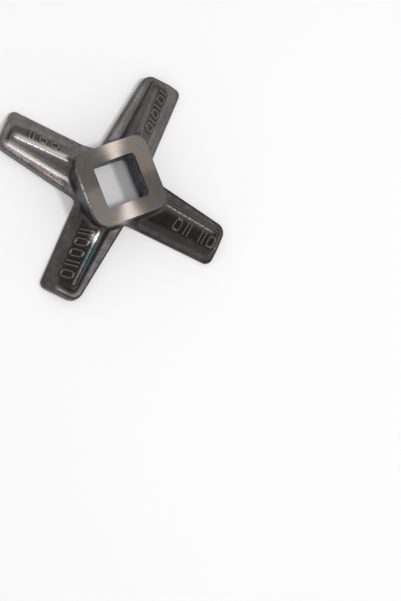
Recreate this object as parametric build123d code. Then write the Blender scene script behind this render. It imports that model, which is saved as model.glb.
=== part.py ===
"""Four-arm meat grinder knife, one steel casting.

The four cutting faces lie on z = 0 and the hub axis is +Z. The sides of the drive square are
parallel to X and Y, so the arms point along the diagonals. All lengths are in millimetres.
"""

from math import radians, sqrt, tan
import os

from build123d import *

# Hub and drive square
HUB_SIDE = 30.0              # across flats of the ground hub face
HUB_HEIGHT = 16.0            # cutting faces to hub face
HUB_DRAFT = 1.5              # degrees, the side walls lean out towards the foot
HUB_CORNER_RADIUS = 5.0
HUB_RIM_CHAMFER = 0.3
DRIVE_SQUARE = 17.5          # side of the drive hole
DRIVE_CORNER_RADIUS = 1.2
RELIEF_DIAMETER = 27.0       # round relief under the hub, clear of the cutting faces
RELIEF_DEPTH = 3.0

# Arms. Each has a leading side, clockwise seen from above, and a trailing side.
ARM_COUNT = 4
FIRST_ARM_ANGLE = 45.0
TIP_RADIUS = 47.5            # hub axis to the end of an arm
GAUGE_RADIUS = 30.0          # distance from the hub axis where tapered sizes are stated
LEAD_OFFSET = 10.6           # arm axis to the leading edge, the same all along
TRAIL_OFFSET = 7.7           # arm axis to the trailing edge
TRAIL_TAPER = 8.0            # degrees, the trailing edge closes in towards the tip
LEAD_TIP_RADIUS = 2.6
TRAIL_TIP_RADIUS = 4.2
WEB_RADIUS = 2.0             # plan radius where two arms meet

# Flange, the flat root of the arm
FLANGE_THICKNESS = 4.2
FLANGE_EDGE_RADIUS = 0.8
LEAD_EDGE_THICKNESS = 1.8    # the flange thins towards the leading edge
MARGIN_OFFSET = 4.6          # arm axis to the line where it starts to thin
MARGIN_START_RADIUS = 17.0   # hub axis to where the margin is fully thinned
MARGIN_RAMP_ANGLE = 30.0     # degrees, the rise from the margin to the flange beside the hub

# Rib that stands on the flange
RIB_TRAIL_OFFSET = 4.2       # arm axis to the foot of the steep flank
RIB_TRAIL_TAPER = 5.0        # degrees
RIB_LEAD_OFFSET = 7.8        # arm axis to the foot of the long flank
STEEP_FLANK_ANGLE = 68.0     # degrees above the flange
RIDGE_HEIGHT = 11.5          # cutting faces to where the two flanks would meet
RIDGE_FALL = 10.8            # degrees, the ridge falls towards the tip
CREST_RADIUS = 1.8           # rounds the ridge
RIB_START_RADIUS = 6.0       # the rib starts inside the hub
RIB_END_MARGIN = 2.4         # rib foot to the end of the arm
RIB_END_LEAN = 12.0          # degrees, the end face leans back from upright
RIB_END_RADIUS = 1.2
RIB_ROOT_DEPTH = 1.2         # how far the rib's blank reaches down into the flange
JOINT_RADIUS = 0.8           # concave radius where the ribs meet the hub

EXCESS = 5.0                 # how far cutting tools reach past the metal


def tapered(size, angle, radius):
    """A size stated at the gauge radius, at another distance from the hub axis."""
    return size + (GAUGE_RADIUS - radius) * tan(radians(angle))


def margin_height(offset):
    """Top of the flange on its leading side, at an offset from the arm axis."""
    run = LEAD_OFFSET - MARGIN_OFFSET
    rise = FLANGE_THICKNESS - LEAD_EDGE_THICKNESS
    return LEAD_EDGE_THICKNESS + rise * (LEAD_OFFSET - offset) / run


def across(radius):
    """Plane across an arm along +X: x points to its leading side and y points up."""
    return Plane(origin=(radius, 0, 0), x_dir=(0, -1, 0), z_dir=(-1, 0, 0))


def arm_pattern(piece):
    """Copies of a piece of the arm along +X, turned to every arm."""
    step = 360 / ARM_COUNT
    return [Rot(0, 0, FIRST_ARM_ANGLE + step * i) * piece for i in range(ARM_COUNT)]


def arm_plan():
    """Outline of the arm along +X, from the hub axis to its rounded end."""
    end_offset = tapered(TRAIL_OFFSET, TRAIL_TAPER, TIP_RADIUS)
    root_offset = tapered(TRAIL_OFFSET, TRAIL_TAPER, 0)
    plan = make_face(
        Polyline(
            (0, -LEAD_OFFSET),
            (TIP_RADIUS, -LEAD_OFFSET),
            (TIP_RADIUS, end_offset),
            (0, root_offset),
            close=True,
        )
    )
    plan = fillet(plan.vertices().sort_by_distance((TIP_RADIUS, -LEAD_OFFSET))[0], LEAD_TIP_RADIUS)
    return fillet(plan.vertices().sort_by_distance((TIP_RADIUS, end_offset))[0], TRAIL_TIP_RADIUS)


def flange():
    """The cross under the ribs, with its thinned leading margins."""
    plan = Sketch() + arm_pattern(arm_plan())
    webs = plan.vertices().sort_by(lambda v: v.center().length)[:ARM_COUNT]
    plan = fillet(webs, WEB_RADIUS)
    body = extrude(plan, FLANGE_THICKNESS)
    far = LEAD_OFFSET + EXCESS
    wedge = make_face(
        Polyline(
            (MARGIN_OFFSET, FLANGE_THICKNESS),
            (far, margin_height(far)),
            (far, FLANGE_THICKNESS + EXCESS),
            (MARGIN_OFFSET, FLANGE_THICKNESS + EXCESS),
            close=True,
        )
    )
    cutter = extrude(across(0) * wedge, -(TIP_RADIUS + EXCESS))
    ramp = Plane(
        origin=(MARGIN_START_RADIUS, 0, LEAD_EDGE_THICKNESS),
        z_dir=(tan(radians(MARGIN_RAMP_ANGLE)), 0, 1),
    )
    cutter = split(cutter, bisect_by=ramp, keep=Keep.TOP)
    body -= arm_pattern(cutter)
    sides = body.faces().filter_by(lambda face: abs(face.normal_at().Z) < 0.01)
    rim = [side.edges().sort_by(Axis.Z)[-1] for side in sides]
    return fillet(rim, FLANGE_EDGE_RADIUS)


def rib_section(radius):
    """Section of the rib at a distance from the hub axis."""
    trail = -tapered(RIB_TRAIL_OFFSET, RIB_TRAIL_TAPER, radius)
    ridge = tapered(RIDGE_HEIGHT, RIDGE_FALL, radius)
    ridge_offset = trail + (ridge - FLANGE_THICKNESS) / tan(radians(STEEP_FLANK_ANGLE))
    lead_height = margin_height(RIB_LEAD_OFFSET)
    root = lead_height - RIB_ROOT_DEPTH
    section = make_face(
        Polyline(
            (trail, root),
            (trail, FLANGE_THICKNESS),
            (ridge_offset, ridge),
            (RIB_LEAD_OFFSET, lead_height),
            (RIB_LEAD_OFFSET, root),
            close=True,
        )
    )
    crest = section.vertices().sort_by(Axis.Y)[-1]
    return across(radius) * fillet(crest, CREST_RADIUS)


def rib():
    """The rib of the arm along +X, with its rounded end."""
    end_radius = TIP_RADIUS - RIB_END_MARGIN
    blank = loft([rib_section(RIB_START_RADIUS), rib_section(TIP_RADIUS)], ruled=True)
    lean = Plane(origin=(end_radius, 0, FLANGE_THICKNESS), z_dir=(1, 0, tan(radians(RIB_END_LEAN))))
    blank = split(blank, bisect_by=lean, keep=Keep.BOTTOM)
    end_face = blank.faces().sort_by(Axis.X)[-1]
    rim = end_face.edges().filter_by(lambda edge: edge.center().Z > FLANGE_THICKNESS)
    return fillet(rim, RIB_END_RADIUS)


def hub():
    """The drafted hub block."""
    foot_side = HUB_SIDE + 2 * HUB_HEIGHT * tan(radians(HUB_DRAFT))
    foot = RectangleRounded(foot_side, foot_side, HUB_CORNER_RADIUS)
    block = extrude(foot, HUB_HEIGHT, taper=HUB_DRAFT)
    return chamfer(block.faces().sort_by(Axis.Z)[-1].edges(), HUB_RIM_CHAMFER)


def rib_joints(body):
    """Edges where the ribs run into the hub, above the flange and between the hub's corners."""
    corner_distance = HUB_SIDE / sqrt(2)
    beside_hub = body.edges().filter_by(lambda edge: edge.center().length < corner_distance)
    return beside_hub.filter_by(GeomType.BSPLINE).filter_by(
        lambda edge: edge.bounding_box().max.Z > FLANGE_THICKNESS + JOINT_RADIUS
    )


def knife():
    body = flange() + arm_pattern(rib()) + hub()
    body = fillet(rib_joints(body), JOINT_RADIUS)
    drive = RectangleRounded(DRIVE_SQUARE, DRIVE_SQUARE, DRIVE_CORNER_RADIUS)
    body -= extrude(drive, HUB_HEIGHT + EXCESS)
    body -= Cylinder(
        RELIEF_DIAMETER / 2,
        RELIEF_DEPTH,
        align=(Align.CENTER, Align.CENTER, Align.MIN),
    )
    return body


if __name__ == "__main__":
    os.makedirs("parts", exist_ok=True)
    solid = knife().solid()
    solid.label = "knife"
    export_step(solid, "parts/knife.step")
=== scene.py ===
"""Meat grinder knife: cast skin, ground faces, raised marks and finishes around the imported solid.

Lengths are in metres in the frame's own coordinates: cutting faces on z = 0, hub axis +Z.
Arms are named by their direction in degrees. "Lead" is the offset to an arm's leading side.
"""

import math

import bmesh
import bpy
from mathutils import Matrix, Vector, noise


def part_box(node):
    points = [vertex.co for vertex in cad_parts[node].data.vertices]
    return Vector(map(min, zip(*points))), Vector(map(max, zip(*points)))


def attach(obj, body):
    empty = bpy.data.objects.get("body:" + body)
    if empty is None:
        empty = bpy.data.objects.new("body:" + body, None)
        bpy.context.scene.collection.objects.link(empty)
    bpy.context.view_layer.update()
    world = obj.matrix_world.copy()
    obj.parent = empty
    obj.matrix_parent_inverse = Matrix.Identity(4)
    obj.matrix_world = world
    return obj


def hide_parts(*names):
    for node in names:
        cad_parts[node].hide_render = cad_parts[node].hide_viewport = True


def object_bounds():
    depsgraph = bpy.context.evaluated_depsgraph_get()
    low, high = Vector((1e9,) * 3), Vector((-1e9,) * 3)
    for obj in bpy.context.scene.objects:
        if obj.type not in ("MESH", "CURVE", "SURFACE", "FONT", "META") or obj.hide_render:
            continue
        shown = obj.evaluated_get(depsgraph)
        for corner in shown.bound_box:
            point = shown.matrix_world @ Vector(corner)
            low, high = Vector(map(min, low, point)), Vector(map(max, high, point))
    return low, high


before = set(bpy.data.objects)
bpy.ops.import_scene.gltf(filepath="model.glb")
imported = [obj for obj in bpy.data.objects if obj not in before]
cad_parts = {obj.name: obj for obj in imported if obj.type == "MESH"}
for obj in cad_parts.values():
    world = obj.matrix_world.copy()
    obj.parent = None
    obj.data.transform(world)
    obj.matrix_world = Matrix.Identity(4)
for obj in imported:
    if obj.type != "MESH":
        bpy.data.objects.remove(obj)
cad_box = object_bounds()

MM = 0.001

# Sizes of the knife that the finishes follow
HUB_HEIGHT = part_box("knife")[1].z
HUB_SIDE = 30 * MM
DRIVE_SQUARE = 17.5 * MM
FLANGE_THICKNESS = 4.2 * MM
FLANK_SLOPE = math.radians(43)
RIDGE_LEAD = -0.5 * MM
GAUGE_RADIUS = 30 * MM
STEEP_FOOT_LEAD = -4.2 * MM
STEEP_FOOT_TAPER = math.radians(5)
WEB_DISTANCE = 22 * MM

# How the casting is meshed and softened
CELL = 0.42 * MM
WELD_REACH = 0.001 * MM
GRINDING_STOCK = 1.2 * MM
FLAT_TOLERANCE = 0.01 * MM
SOFTENING_SHARE = 0.5
SOFTENING_ROUNDS = 8

# Roughness of the sand, and the pits, with their noise counted per millimetre
SKIN_ROUGHNESS = 0.025 * MM
GRAINS_PER_MM, GRAIN_FALL, GRAIN_STEP, GRAIN_OCTAVES = 0.9, 1.0, 2.2, 3
SWELLS_PER_MM = 0.22
PIT_DEPTH = 0.10 * MM
PIT_PATCHES_PER_MM, PIT_PATCH_SHIFT, PIT_PATCH_RISE = 0.25, Vector((7, 3, 1)), (0.05, 0.4)
PITS_PER_MM, PIT_SHIFT, PIT_RISE = 1.15, Vector((2, 9, 4)), (0.28, 0.5)
PITTED_BELOW = FLANGE_THICKNESS * 1.15
PITTED_LEAST_UP = 0.3

# Raised marks on the long flanks: plain bars and rings, each (kind, mm along the arm)
ARM_MARKS = {
    45: (("ring", 26.8), ("bar", 29.8), ("ring", 33.0), ("bar", 36.0), ("ring", 39.4), ("bar", 42.4)),
    135: (("ring", 27.4), ("ring", 32.2), ("pair", 37.0)),
    225: (("pair", 22.2), ("ring", 26.4), ("ring", 31.0), ("pair", 35.4), ("ring", 39.8)),
    315: (("ring", 28.4), ("pair", 32.8), ("pair", 39.4), ("ring", 43.4)),
}
MARK_TALL = {45: 5.2 * MM, 135: 4.8 * MM, 225: 6.6 * MM, 315: 5.8 * MM}
MARK_WIDE = 3.6 * MM
MARK_LEAD = 3.2 * MM
MARK_HEIGHT = 0.42 * MM
MARKS_FROM = 18 * MM
MARKS_ABOVE = FLANGE_THICKNESS * 0.6
MARKED_LEAST_UP = 0.2
RING_CORNER = 0.6
PAIR_SPREAD = 0.6
STROKE = 0.48 * MM
STROKE_TOP, STROKE_FOOT = STROKE * 0.45, STROKE * 1.35
# The skin is made darker beside each stroke, between these distances from its middle line
DARKER_BESIDE_FROM, DARKER_BESIDE_TO = 0.8 * MM, 1.7 * MM
REFINED_REACHES = (1.2 * MM, 0.62 * MM)
BEYOND_MARKS = 1.0

# Grey of the oxide on each kind of face, and a painted shade on each arm: each arm's oxide made lighter
# or darker for how the light falls on it
TRAILING_FLANGE_TONE = 0.125
STEEP_FLANK_TONE = 0.08
LONG_FLANK_TONE = 0.065
MARGIN_TONE = 0.155
HUB_TONE = 0.085
ARM_PAINTED_SHADE = {45: 1.0, 135: 1.15, 225: 0.58, 315: 0.38}
ARM_SHARPNESS = 8

# Where one kind of face gives way to the next, each as (start, end)
FLANGE_TO_RIB = (FLANGE_THICKNESS + 0.2 * MM, FLANGE_THICKNESS + 1.3 * MM)
HUB_TO_ARM = (HUB_SIDE / 2 + 0.2 * MM, HUB_SIDE / 2 + 1.6 * MM)
STEEP_TO_LONG = (RIDGE_LEAD - 0.7 * MM, RIDGE_LEAD + 0.9 * MM)
TRAILING_TO_MARGIN = (-2 * MM, 2 * MM)

# Rubbed metal with a painted highlight: (strength, from and to in mm along the arm) on each ridge,
# strength on each foot. The bright stripes are partly rubbed steel and partly painted highlight.
RUBBED_HIGHLIGHT_RIDGE = {45: (0.12, 20, 44), 135: (1.0, 15, 45), 225: (0.9, 15, 27), 315: (0.12, 20, 44)}
RUBBED_HIGHLIGHT_RIDGE_LEAD, RUBBED_HIGHLIGHT_RIDGE_WIDTH = RIDGE_LEAD + 0.4 * MM, 1.2 * MM
RUBBED_HIGHLIGHT_FADE_IN, RUBBED_HIGHLIGHT_FADE_OUT = 2, 4
RUBBED_HIGHLIGHT_FOOT = {45: 0.1, 135: 1.0, 225: 0.0, 315: 0.12}
RUBBED_HIGHLIGHT_FOOT_WIDTH = 0.7 * MM
RUBBED_HIGHLIGHT_FOOT_END = (43 * MM, 45 * MM)
# Painted highlight: a bright rim in patches under the hub face, on the side towards -x only
RIM_HIGHLIGHT_DEPTH, RIM_HIGHLIGHT_WIDTH = 1.5 * MM, 0.8 * MM
RIM_HIGHLIGHT_SIDE = (2 * MM, 8 * MM)
RIM_HIGHLIGHT_PATCHES_PER_MM, RIM_HIGHLIGHT_PATCH_RISE = 0.8, (-0.35, 0.1)

# Painted teal reflection behind one ridge
TEAL_REFLECTION_ARM = 225
TEAL_REFLECTION_LEAD, TEAL_REFLECTION_WIDTH = RIDGE_LEAD - 1.6 * MM, 1.7 * MM
TEAL_REFLECTION_END = (30 * MM, 45 * MM)

# How pitted the trailing flange of each arm is
PITTED = {45: 0.4, 135: 1.0, 225: 1.0, 315: 0.4}
PITTED_TRAILING = (-6.5 * MM, -3.5 * MM)
PITTED_WEB = (2.5 * MM, 6 * MM)

# How far the skin's convexity is spread out, and heights where the flange's duller skin ends
BEND_SPREAD_ROUNDS = 3
DULL_SKIN_END = (4.3 * MM, 5.6 * MM)

# Finishes in the order of the piece's material slots, and how their faces are told apart
CAST, TURNED, GROUND, HOLE = range(4)
GROUND_TOLERANCE = 0.02 * MM
GROUND_LEAST_DOWN = 0.9
HOLE_MARGIN = 0.35 * MM

# Values painted on the skin's points
PAINTED = ("convexity", "oxide", "rubbed_highlight", "teal_reflection", "pitted")

# The table is clear to rays shorter than the gap, so the faces that lie on it are lit from below
CONTACT_GAP = 0.2 * MM
TABLE_REACH = 3
TABLE_GREY = 0.855
TABLE_ROUGHNESS = 0.8

LAMP_DISTANCE = 0.9
WORLD_STRENGTH = 0.70

CAMERA_PLACE = (-0.41488, -0.12276, 1.21101)
CAMERA_TURN = (10.2144, -17.1815, -22.1542)
LENS_LENGTH = 200
SENSOR_WIDTH = 36


# ---------------------------------------------------------------- casting


def even_casting(source):
    """Copy of the solid with stock left on the faces that are ground, in small even cells."""
    mesh = source.data.copy()
    for vertex in mesh.vertices:
        if vertex.co.z > HUB_HEIGHT - FLAT_TOLERANCE:
            vertex.co.z += GRINDING_STOCK
        elif vertex.co.z < FLAT_TOLERANCE:
            vertex.co.z -= GRINDING_STOCK
    casting = bpy.data.objects.new("casting", mesh)
    bpy.context.scene.collection.objects.link(casting)
    weld = casting.modifiers.new("weld", "WELD")
    weld.merge_threshold = WELD_REACH
    cells = casting.modifiers.new("cells", "REMESH")
    cells.mode = "VOXEL"
    cells.voxel_size = CELL
    soften = casting.modifiers.new("soften", "SMOOTH")
    soften.factor = SOFTENING_SHARE
    soften.iterations = SOFTENING_ROUNDS
    bpy.context.view_layer.update()
    evaluated = casting.evaluated_get(bpy.context.evaluated_depsgraph_get())
    even = bpy.data.meshes.new_from_object(evaluated)
    bpy.data.objects.remove(casting)
    return even


def arm_place(point, arm):
    """(distance along an arm, lead) of a point."""
    angle = math.radians(arm)
    along = Vector((math.cos(angle), math.sin(angle)))
    lead = Vector((math.sin(angle), -math.cos(angle)))
    flat = Vector((point.x, point.y))
    return flat.dot(along), flat.dot(lead)


def ease(value, low, high):
    """0 below low, 1 above high, and a smooth rise in between."""
    share = min(1.0, max(0.0, (value - low) / (high - low)))
    return share * share * (3 - 2 * share)


def band(value, middle, width):
    """1 in the middle of a band, fading to 0 on both sides."""
    return math.exp(-(((value - middle) / width) ** 2))


def stroke_lines(kind, tall):
    """The strokes of a plain mark, as segments between (along, up the flank) points."""
    wide, tall = MARK_WIDE / 2 - STROKE, tall / 2 - STROKE
    if kind == "bar":
        return [((0, -tall), (0, tall))]
    if kind == "pair":
        return [((x, -tall), (x, tall)) for x in (-wide * PAIR_SPREAD, wide * PAIR_SPREAD)]
    near_wide, near_tall = wide * RING_CORNER, tall * RING_CORNER
    corners = [(-wide, -near_tall), (-near_wide, -tall), (near_wide, -tall), (wide, -near_tall)]
    corners += [(-x, -y) for x, y in corners]
    return list(zip(corners, corners[1:] + corners[:1]))


def stroke_distance(place, start, end):
    """Distance from a place on the flank to a stroke's middle line."""
    line = Vector(end) - Vector(start)
    offset = Vector(place) - Vector(start)
    share = min(1.0, max(0.0, offset.dot(line) / line.length_squared))
    return (offset - share * line).length


MARK_STROKES = {
    arm: [(along * MM, stroke_lines(kind, MARK_TALL[arm])) for kind, along in marks]
    for arm, marks in ARM_MARKS.items()
}


def mark_distance(point):
    """Distance of a point on a long flank to the nearest mark's middle line."""
    nearest = BEYOND_MARKS
    for arm, marks in MARK_STROKES.items():
        along, lead = arm_place(point, arm)
        if along < MARKS_FROM or abs(lead - MARK_LEAD) > MARK_TALL[arm]:
            continue
        up = (MARK_LEAD - lead) / math.cos(FLANK_SLOPE)
        for centre, strokes in marks:
            if abs(along - centre) > MARK_WIDE:
                continue
            for start, end in strokes:
                nearest = min(nearest, stroke_distance((along - centre, up), start, end))
    return nearest


def may_be_marked(point, normal):
    """Whether a point is on top of a rib."""
    return normal.z >= MARKED_LEAST_UP and point.z >= MARKS_ABOVE


def refine(bm, reach):
    """Halves the cells within reach of a mark and closes their rim with triangles."""
    edges = set()
    for face in bm.faces:
        middle = face.calc_center_median()
        if may_be_marked(middle, face.normal) and mark_distance(middle) < reach:
            edges.update(face.edges)
    bmesh.ops.subdivide_edges(bm, edges=list(edges), cuts=1, use_grid_fill=True)
    bmesh.ops.triangulate(bm, faces=[face for face in bm.faces if len(face.verts) > 4])


def raise_marks(bm):
    """Raises the marks' strokes out of the flanks."""
    for reach in REFINED_REACHES:
        refine(bm, reach)
    bm.normal_update()
    stroke = bm.verts.layers.float.new("stroke")
    hollow = bm.verts.layers.float.new("beside_stroke")
    moves = []
    for vert in bm.verts:
        if not may_be_marked(vert.co, vert.normal):
            continue
        distance = mark_distance(vert.co)
        height = 1 - ease(distance, STROKE_TOP, STROKE_FOOT)
        vert[stroke] = height
        vert[hollow] = (1 - ease(distance, DARKER_BESIDE_FROM, DARKER_BESIDE_TO)) * (1 - height)
        if height > 0:
            moves.append((vert, vert.normal * height * MARK_HEIGHT))
    for vert, move in moves:
        vert.co += move


def roughen(bm):
    """Presses the sand's roughness and a few pits into the cast skin."""
    bm.normal_update()
    moves = []
    for vert in bm.verts:
        place = vert.co / MM
        grain = noise.fractal(place * GRAINS_PER_MM, GRAIN_FALL, GRAIN_STEP, GRAIN_OCTAVES)
        swell = noise.noise(place * SWELLS_PER_MM)
        pit = 0.0
        if vert.co.z < PITTED_BELOW and vert.normal.z > PITTED_LEAST_UP:
            patch = noise.noise(place * PIT_PATCHES_PER_MM + PIT_PATCH_SHIFT)
            spot = noise.noise(place * PITS_PER_MM + PIT_SHIFT)
            pit = ease(patch, *PIT_PATCH_RISE) * ease(spot, *PIT_RISE)
        depth = SKIN_ROUGHNESS * (grain + swell) - PIT_DEPTH * pit
        moves.append((vert, vert.normal * depth))
    for vert, move in moves:
        vert.co += move


def grind(bm):
    """Cuts the stock off flat: the hub face at its height and the cutting faces on z = 0."""
    for height, up in ((HUB_HEIGHT, 1), (0.0, -1)):
        cut = bmesh.ops.bisect_plane(
            bm,
            geom=bm.verts[:] + bm.edges[:] + bm.faces[:],
            plane_co=(0, 0, height),
            plane_no=(0, 0, up),
            clear_outer=True,
        )
        rim = [edge for edge in cut["geom_cut"] if isinstance(edge, bmesh.types.BMEdge)]
        bmesh.ops.triangle_fill(bm, edges=rim, use_dissolve=False, use_beauty=True)


def bend_of(bm):
    """How convex the skin is at each point: above 0 on edges, below 0 in hollows."""
    bm.normal_update()
    bend, around = [], []
    for vert in bm.verts:
        others = [edge.other_vert(vert) for edge in vert.link_edges]
        middle = sum((other.co for other in others), Vector()) / len(others)
        span = sum((other.co - vert.co).length for other in others) / len(others)
        bend.append((vert.co - middle).dot(vert.normal) / max(span, 1e-9))
        around.append([other.index for other in others])
    for _ in range(BEND_SPREAD_ROUNDS):
        bend = [
            0.5 * own + 0.5 * sum(bend[index] for index in near) / len(near)
            for own, near in zip(bend, around)
        ]
    return bend


# ---------------------------------------------------------------- what is painted on the skin


def arm_shares(point):
    """How much each arm's finish counts at a point, adding up to 1."""
    around = math.atan2(point.y, point.x)
    shares = {
        arm: max(0.0, math.cos(around - math.radians(arm))) ** ARM_SHARPNESS
        for arm in ARM_PAINTED_SHADE
    }
    total = sum(shares.values())
    return {arm: share / total for arm, share in shares.items()}


def mixed(first, second, share):
    """First at share 0 and second at share 1."""
    return first + (second - first) * share


def rubbed_highlight_of_arm(arm, along, lead, on_rib):
    """How rubbed an arm is, with a painted highlight, on its ridge and along the foot of its steep
    flank.
    """
    strength, start, end = RUBBED_HIGHLIGHT_RIDGE[arm]
    stretch = ease(along, (start - RUBBED_HIGHLIGHT_FADE_IN) * MM, start * MM)
    stretch *= 1 - ease(along, (end - RUBBED_HIGHLIGHT_FADE_OUT) * MM, end * MM)
    ridge = band(lead, RUBBED_HIGHLIGHT_RIDGE_LEAD, RUBBED_HIGHLIGHT_RIDGE_WIDTH) * on_rib * stretch
    foot_lead = (along - GAUGE_RADIUS) * math.tan(STEEP_FOOT_TAPER) + STEEP_FOOT_LEAD
    foot = band(lead, foot_lead, RUBBED_HIGHLIGHT_FOOT_WIDTH) * (1 - ease(along, *RUBBED_HIGHLIGHT_FOOT_END))
    return max(strength * ridge, RUBBED_HIGHLIGHT_FOOT[arm] * foot)


def painted_rim_highlight(point):
    """Painted highlight on the hub's side, in patches close under its face, on the side towards -x only.
    """
    patch = noise.noise(point / MM * RIM_HIGHLIGHT_PATCHES_PER_MM)
    rim = band(HUB_HEIGHT - point.z, RIM_HIGHLIGHT_DEPTH, RIM_HIGHLIGHT_WIDTH)
    return rim * ease(-point.x, *RIM_HIGHLIGHT_SIDE) * ease(patch, *RIM_HIGHLIGHT_PATCH_RISE)


def skin_of(point):
    """How light the oxide is with each arm's painted shade, how rubbed the skin is with its painted
    highlights, where the painted teal reflection lies, and how pitted the skin is.
    """
    on_rib = ease(point.z, *FLANGE_TO_RIB)
    at_hub = 1 - ease(max(abs(point.x), abs(point.y)), *HUB_TO_ARM)
    near_web = 1 - ease(abs(math.hypot(point.x, point.y) - WEB_DISTANCE), *PITTED_WEB)
    oxide = rubbed_highlight = teal_reflection = pitted = 0.0
    for arm, share in arm_shares(point).items():
        along, lead = arm_place(point, arm)
        rib = mixed(STEEP_FLANK_TONE, LONG_FLANK_TONE, ease(lead, *STEEP_TO_LONG))
        flange = mixed(TRAILING_FLANGE_TONE, MARGIN_TONE, ease(lead, *TRAILING_TO_MARGIN))
        # each arm's oxide is made lighter or darker by a painted shade
        oxide += share * ARM_PAINTED_SHADE[arm] * mixed(flange, rib, on_rib)
        # rubbed metal and a painted highlight on the ridge and along the foot
        rubbed_highlight += share * rubbed_highlight_of_arm(arm, along, lead, on_rib)
        trailing = 1 - ease(lead, *PITTED_TRAILING)
        pitted += share * PITTED[arm] * max(trailing, near_web) * (1 - on_rib)
        # a painted teal reflection behind this arm's ridge
        if arm == TEAL_REFLECTION_ARM:
            behind = band(lead, TEAL_REFLECTION_LEAD, TEAL_REFLECTION_WIDTH) * on_rib
            teal_reflection += share * behind * (1 - ease(along, *TEAL_REFLECTION_END))
    oxide = mixed(oxide, HUB_TONE, at_hub)
    # painted highlight in patches under the hub face
    rubbed_highlight = mixed(rubbed_highlight, painted_rim_highlight(point), at_hub)
    return oxide, rubbed_highlight, teal_reflection * (1 - at_hub), pitted


def finish_of(face):
    """Which finish a face has."""
    centre = face.calc_center_median()
    if centre.z > HUB_HEIGHT - GROUND_TOLERANCE:
        return TURNED
    if centre.z < GROUND_TOLERANCE and face.normal.z < -GROUND_LEAST_DOWN:
        return GROUND
    inside = max(abs(centre.x), abs(centre.y)) < DRIVE_SQUARE / 2 + HOLE_MARGIN
    return HOLE if inside else CAST


def keep_inside(mesh, low, high):
    """Moves points that stand out of a box back onto it."""
    for vertex in mesh.vertices:
        for axis in range(3):
            vertex.co[axis] = min(high[axis], max(low[axis], vertex.co[axis]))


def knife_piece(materials):
    """The whole knife as one piece, with a material for each finish."""
    bm = bmesh.new()
    bm.from_mesh(even_casting(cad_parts["knife"]))
    raise_marks(bm)
    roughen(bm)
    grind(bm)
    bmesh.ops.recalc_face_normals(bm, faces=bm.faces)
    bm.verts.index_update()
    layers = [bm.verts.layers.float.new(name) for name in PAINTED]
    for vert, bend in zip(bm.verts, bend_of(bm)):
        for layer, value in zip(layers, (bend, *skin_of(vert.co))):
            vert[layer] = value
    for face in bm.faces:
        face.material_index = finish_of(face)
        face.smooth = face.material_index in (CAST, HOLE)
    for edge in bm.edges:
        kinds = {face.material_index for face in edge.link_faces}
        edge.smooth = not (kinds & {TURNED, GROUND} and len(kinds) > 1)
    mesh = bpy.data.meshes.new("knife_casting")
    bm.to_mesh(mesh)
    bm.free()
    keep_inside(mesh, *cad_box)
    for material in materials:
        mesh.materials.append(material)
    piece = bpy.data.objects.new("knife_casting", mesh)
    bpy.context.scene.collection.objects.link(piece)
    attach(piece, "root")
    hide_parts("knife")


# ---------------------------------------------------------------- finishes


class Bench:
    """Places nodes in a material or group and links them."""

    def __init__(self, tree):
        self.tree = tree

    def node(self, kind, settings=None, **inputs):
        """A node with its inputs by name, or by place as i0, i1 and so on."""
        made = self.tree.nodes.new(kind)
        for name, value in (settings or {}).items():
            setattr(made, name, value)
        for name, value in inputs.items():
            self.feed(made, name.replace("_", " "), value)
        return made

    def feed(self, node, name, value):
        """Links or sets one input."""
        by_place = name[0] == "i" and name[1:].isdigit()
        socket = node.inputs[int(name[1:]) if by_place else name]
        if isinstance(value, bpy.types.NodeSocket):
            self.tree.links.new(value, socket)
        else:
            socket.default_value = value

    def math(self, operation, first, second=0.0):
        """A number worked out from one or two."""
        return self.node("ShaderNodeMath", {"operation": operation}, i0=first, i1=second).outputs[0]

    def times(self, first, second):
        return self.math("MULTIPLY", first, second)

    def line(self, value, slope, start):
        """A start plus a slope times a value."""
        return self.math("ADD", self.times(value, slope), start)

    def rise(self, value, low, high):
        """0 below low and 1 above high."""
        settings = {"interpolation_type": "SMOOTHSTEP"}
        limits = {"From_Min": low, "From_Max": high}
        return self.node("ShaderNodeMapRange", settings, Value=value, **limits).outputs[0]

    def blend(self, share, first, second):
        """Colour between two."""
        settings = {"data_type": "RGBA"}
        return self.node("ShaderNodeMix", settings, Factor=share, i6=first, i7=second).outputs[2]

    def place(self):
        """Where a point is on the piece."""
        return self.node("ShaderNodeTexCoord").outputs["Object"]

    def painted(self, name):
        """A value painted on the skin's points."""
        return self.node("ShaderNodeAttribute", {"attribute_name": name}).outputs["Fac"]

    def cloud(self, place, scale, detail=2.0, roughness=0.5):
        """Smooth noise about 0.5."""
        made = self.node("ShaderNodeTexNoise", Vector=place, Scale=scale)
        self.feed(made, "Detail", detail)
        self.feed(made, "Roughness", roughness)
        return made.outputs[0]


def new_group(name, inputs, outputs):
    """A node group with named number inputs and outputs, its bench, and both its ends."""
    tree = bpy.data.node_groups.new(name, "ShaderNodeTree")
    for label, value in inputs.items():
        socket = tree.interface.new_socket(label, in_out="INPUT", socket_type="NodeSocketFloat")
        socket.default_value = value
    for label in outputs:
        tree.interface.new_socket(label, in_out="OUTPUT", socket_type="NodeSocketFloat")
    bench = Bench(tree)
    return tree, bench, bench.node("NodeGroupInput").outputs, bench.node("NodeGroupOutput")


def cast_grain_group():
    """Sand-cast grain: a fine height and a slow mottle."""
    inputs = {"Grains per metre": 1200.0, "Mottles per metre": 150.0}
    tree, bench, given, out = new_group("cast grain", inputs, ["Height", "Mottle"])
    place = bench.place()
    grain = bench.cloud(place, given["Grains per metre"], detail=5.0, roughness=0.65)
    mottle = bench.cloud(place, given["Mottles per metre"], detail=4.0, roughness=0.6)
    bench.feed(out, "Height", grain)
    bench.feed(out, "Mottle", bench.rise(mottle, 0.35, 0.65))
    return tree


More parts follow.
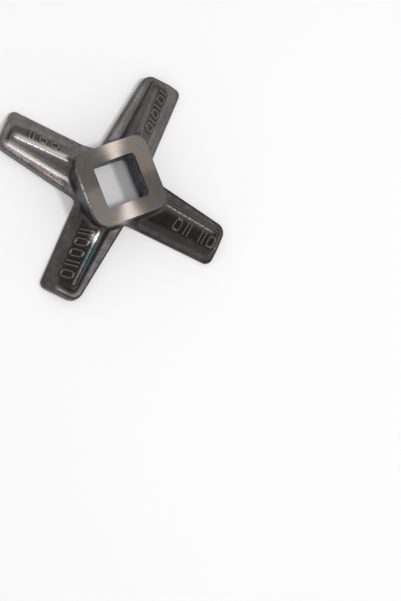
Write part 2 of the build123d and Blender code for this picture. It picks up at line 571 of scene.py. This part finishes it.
def edge_wear_and_hollows_group():
    """Bright rubbed edges, and darker skin in the hollows, from the skin's convexity."""
    inputs = {
        "Wear from": 0.08,
        "Wear full": 0.15,
        "Hollow darkening from": 0.05,
        "Hollow darkening full": 0.11,
        "Breakup per metre": 900.0,
    }
    tree, bench, given, out = new_group("edge wear and hollow darkening", inputs, ["Wear", "Grime"])
    bend = bench.painted("convexity")
    patch = bench.cloud(bench.place(), given["Breakup per metre"], detail=3.0)
    worn = bench.rise(bend, given["Wear from"], given["Wear full"])
    bench.feed(out, "Wear", bench.times(worn, bench.rise(patch, 0.3, 0.55)))
    # the skin is made darker in the hollows
    hollow = bench.times(bend, -1.0)
    bench.feed(out, "Grime", bench.rise(hollow, given["Hollow darkening from"], given["Hollow darkening full"]))
    return tree


def pitting_group():
    """Small dark pits that gather in patches."""
    inputs = {"Pits per metre": 1100.0, "Patches per metre": 130.0, "Spread": 0.35}
    tree, bench, given, out = new_group("pitting", inputs, ["Pits"])
    place = bench.place()
    spot = bench.cloud(place, given["Pits per metre"])
    patch = bench.cloud(place, given["Patches per metre"], detail=1.0)
    gathered = bench.rise(patch, given["Spread"], 0.62)
    bench.feed(out, "Pits", bench.times(bench.rise(spot, 0.52, 0.70), gathered))
    return tree


def tool_lines_group():
    """Concentric lines left by the facing tool, as a height and a light-and-dark value."""
    inputs = {"Lines per metre": 4000.0, "Waver": 0.02}
    tree, bench, given, out = new_group("tool lines", inputs, ["Height", "Tone"])
    place = bench.place()
    split = bench.node("ShaderNodeSeparateXYZ", Vector=place).outputs
    squares = [bench.times(split[axis], split[axis]) for axis in (0, 1)]
    radius = bench.math("SQRT", bench.math("ADD", *squares))
    waver = bench.times(bench.cloud(place, 60.0), bench.times(given["Waver"], 0.01))
    shifted = bench.times(bench.math("ADD", radius, waver), given["Lines per metre"])
    line_place = bench.node("ShaderNodeCombineXYZ", X=shifted).outputs[0]
    bench.feed(out, "Height", bench.cloud(line_place, 1.0, detail=3.0, roughness=0.7))
    bench.feed(out, "Tone", bench.rise(bench.cloud(line_place, 0.23, detail=1.0), 0.3, 0.7))
    return tree


def placed(bench, tree, **values):
    """A copy of a shared effect in a material, with its own values."""
    return bench.node("ShaderNodeGroup", {"node_tree": tree}, **values).outputs


def bare_metal(name):
    """A metal material, its bench and its shader."""
    material = bpy.data.materials.new(name)
    material.use_nodes = True
    shader = material.node_tree.nodes["Principled BSDF"]
    shader.inputs["Metallic"].default_value = 1.0
    return material, Bench(material.node_tree), shader


def dress(bench, shader, colour, roughness, height, strength, depth):
    """Gives a shader its colour, its roughness and a fine relief."""
    bench.feed(shader, "Base Color", colour)
    bench.feed(shader, "Roughness", roughness)
    relief = bench.node("ShaderNodeBump", Height=height, Strength=strength, Distance=depth)
    bench.feed(shader, "Normal", relief.outputs[0])


def cast_skin(grain, wear, pitting):
    """Dark cast skin with oxide, darker hollows, rubbed places with painted highlights, one painted teal
    reflection and pits.
    """
    material, bench, shader = bare_metal("cast skin")
    height_above = bench.node("ShaderNodeSeparateXYZ", Vector=bench.place()).outputs[2]
    on_flange = bench.line(bench.rise(height_above, *DULL_SKIN_END), -1.0, 1.0)
    skin = placed(bench, grain, Grains_per_metre=1500.0, Mottles_per_metre=170.0)
    edges = placed(bench, wear)
    pits = placed(bench, pitting)["Pits"]
    pit_here = bench.times(pits, bench.line(bench.painted("pitted"), 0.85, 0.12))
    rubbed_highlight = bench.painted("rubbed_highlight")

    tone = bench.times(bench.painted("oxide"), bench.line(skin["Mottle"], 0.35, 0.83))
    grained = bench.times(tone, bench.line(skin["Height"], 1.5, 0.25))
    tint = {"Red": 1.09, "Green": 0.97, "Blue": 0.985}
    channels = {name: bench.times(grained, share) for name, share in tint.items()}
    colour = bench.node("ShaderNodeCombineColor", **channels).outputs[0]
    # What covers the oxide, from the lowest layer up: (where, how thickly, colour)
    layers = (
        (pit_here, 0.9, (0.022, 0.019, 0.022, 1)),
        # skin made darker beside each raised stroke
        (bench.painted("beside_stroke"), 0.7, (0.028, 0.024, 0.024, 1)),
        # skin made darker in the hollows
        (edges["Grime"], 0.5, (0.035, 0.03, 0.03, 1)),
        (bench.painted("stroke"), 0.6, (0.17, 0.16, 0.155, 1)),
        (edges["Wear"], 0.3, (0.34, 0.31, 0.30, 1)),
        # painted teal reflection behind one ridge
        (bench.painted("teal_reflection"), 0.8, (0.028, 0.085, 0.092, 1)),
        # rubbed metal with painted highlights on the ridges, the feet and under the hub face
        (rubbed_highlight, 0.95, (0.78, 0.72, 0.68, 1)),
    )
    for where, thickness, layer_colour in layers:
        colour = bench.blend(bench.times(where, thickness), colour, layer_colour)

    rough = bench.line(on_flange, 0.12, 0.31)
    rough = bench.line(edges["Grime"], 0.2, rough)
    rough = bench.line(rubbed_highlight, -0.10, rough)
    height = bench.line(pit_here, -1.2, skin["Height"])
    height = bench.times(height, bench.line(rubbed_highlight, -0.8, 1.0))
    dress(bench, shader, colour, rough, height, 0.35, 0.12 * MM)
    return material


def turned_face(lines):
    """Hub face with circular tool lines, which catch the light in two wedges."""
    material, bench, shader = bare_metal("turned hub face")
    shader.inputs["Anisotropic"].default_value = 1.0
    shader.inputs["Anisotropic Rotation"].default_value = 0.25
    turned = placed(bench, lines, Lines_per_metre=5200.0)
    fine = bench.rise(turned["Height"], 0.25, 0.75)
    warm = bench.blend(turned["Tone"], (0.155, 0.133, 0.118, 1), (0.115, 0.10, 0.088, 1))
    colour = bench.blend(bench.times(fine, 0.35), warm, (0.30, 0.275, 0.255, 1))
    dress(bench, shader, colour, bench.line(fine, 0.10, 0.27), turned["Height"], 0.25, 0.03 * MM)
    around = bench.node("ShaderNodeTangent", {"direction_type": "RADIAL", "axis": "Z"})
    bench.feed(shader, "Tangent", around.outputs[0])
    return material


def cutting_face(lines, pitting):
    """Bright ground cutting face with a few pits."""
    material, bench, shader = bare_metal("ground cutting face")
    ground = placed(bench, lines, Lines_per_metre=2600.0, Waver=0.05)
    pits = placed(bench, pitting, Pits_per_metre=1000.0, Spread=0.54)["Pits"]
    colour = bench.blend(ground["Tone"], (0.52, 0.51, 0.50, 1), (0.43, 0.42, 0.41, 1))
    colour = bench.blend(pits, colour, (0.10, 0.09, 0.09, 1))
    rough = bench.line(ground["Height"], 0.2, 0.16)
    dress(bench, shader, colour, rough, ground["Height"], 0.3, 0.03 * MM)
    return material


def drive_hole_wall(grain, pitting):
    """Dark bluish wall of the drive hole."""
    material, bench, shader = bare_metal("drive hole wall")
    skin = placed(bench, grain, Grains_per_metre=900.0, Mottles_per_metre=350.0)
    pits = placed(bench, pitting, Pits_per_metre=420.0, Spread=0.35)["Pits"]
    colour = bench.blend(skin["Mottle"], (0.085, 0.085, 0.105, 1), (0.05, 0.05, 0.062, 1))
    colour = bench.blend(pits, colour, (0.02, 0.02, 0.025, 1))
    rough = bench.line(skin["Mottle"], 0.2, 0.4)
    dress(bench, shader, colour, rough, skin["Height"], 0.6, 0.2 * MM)
    return material


def finishes():
    """The knife's materials in the order CAST, TURNED, GROUND, HOLE."""
    grain = cast_grain_group()
    wear = edge_wear_and_hollows_group()
    pitting = pitting_group()
    lines = tool_lines_group()
    return [
        cast_skin(grain, wear, pitting),
        turned_face(lines),
        cutting_face(lines, pitting),
        drive_hole_wall(grain, pitting),
    ]


# ---------------------------------------------------------------- table, light and camera


def table():
    """Wide pale table under the knife, clear from below and where the knife lies on it."""
    corners = [(x * TABLE_REACH, y * TABLE_REACH, 0) for x, y in ((-1, -1), (1, -1), (1, 1), (-1, 1))]
    mesh = bpy.data.meshes.new("table")
    mesh.from_pydata(corners, [], [(0, 1, 2, 3)])
    floor = bpy.data.objects.new("table", mesh)
    bpy.context.scene.collection.objects.link(floor)
    material = bpy.data.materials.new("pale table")
    material.use_nodes = True
    shader = material.node_tree.nodes["Principled BSDF"]
    shader.inputs["Base Color"].default_value = (TABLE_GREY, TABLE_GREY, TABLE_GREY, 1)
    shader.inputs["Roughness"].default_value = TABLE_ROUGHNESS
    bench = Bench(material.node_tree)
    seen_from_below = bench.node("ShaderNodeNewGeometry").outputs["Backfacing"]
    ray_length = bench.node("ShaderNodeLightPath").outputs["Ray Length"]
    touching = bench.math("LESS_THAN", ray_length, CONTACT_GAP)
    hidden = bench.math("MAXIMUM", seen_from_below, touching)
    clear = bench.node("ShaderNodeBsdfTransparent").outputs[0]
    either = bench.node("ShaderNodeMixShader", i0=hidden, i1=shader.outputs[0], i2=clear)
    bench.feed(material.node_tree.nodes["Material Output"], "Surface", either.outputs[0])
    mesh.materials.append(material)


def softbox(name, toward, along, length, width, power):
    """Area lamp in a direction from the knife, facing it, with its length along a direction."""
    data = bpy.data.lights.new(name, "AREA")
    data.shape = "RECTANGLE"
    data.size = length
    data.size_y = width
    data.energy = power
    lamp = bpy.data.objects.new(name, data)
    back = Vector(toward).normalized()
    right = (Vector(along) - Vector(along).dot(back) * back).normalized()
    lamp.matrix_world = Matrix((right, back.cross(right), back)).transposed().to_4x4()
    lamp.location = back * LAMP_DISTANCE
    bpy.context.scene.collection.objects.link(lamp)


def white_world():
    """Even white light from all round."""
    world = bpy.data.worlds.new("studio")
    bpy.context.scene.world = world
    world.use_nodes = True
    background = world.node_tree.nodes["Background"]
    background.inputs["Color"].default_value = (1, 1, 1, 1)
    background.inputs["Strength"].default_value = WORLD_STRENGTH


def camera():
    """Long lens above the knife, turned a little to one side."""
    lens = bpy.data.cameras.new("camera")
    lens.lens = LENS_LENGTH
    lens.sensor_width = SENSOR_WIDTH
    made = bpy.data.objects.new("camera", lens)
    made.location = CAMERA_PLACE
    made.rotation_euler = [math.radians(turn) for turn in CAMERA_TURN]
    bpy.context.scene.collection.objects.link(made)
    bpy.context.scene.camera = made


knife_piece(finishes())
table()
softbox(
    "key softbox", toward=(0.286, -0.175, 0.942), along=(1, 0, 0), length=0.10, width=0.10, power=2.3
)
softbox(
    "strip softbox", toward=(-0.089, -0.075, 0.993), along=(-1, 1, 0), length=0.46, width=0.13, power=1.3
)
white_world()
camera()
bpy.context.scene.view_settings.view_transform = "Standard"
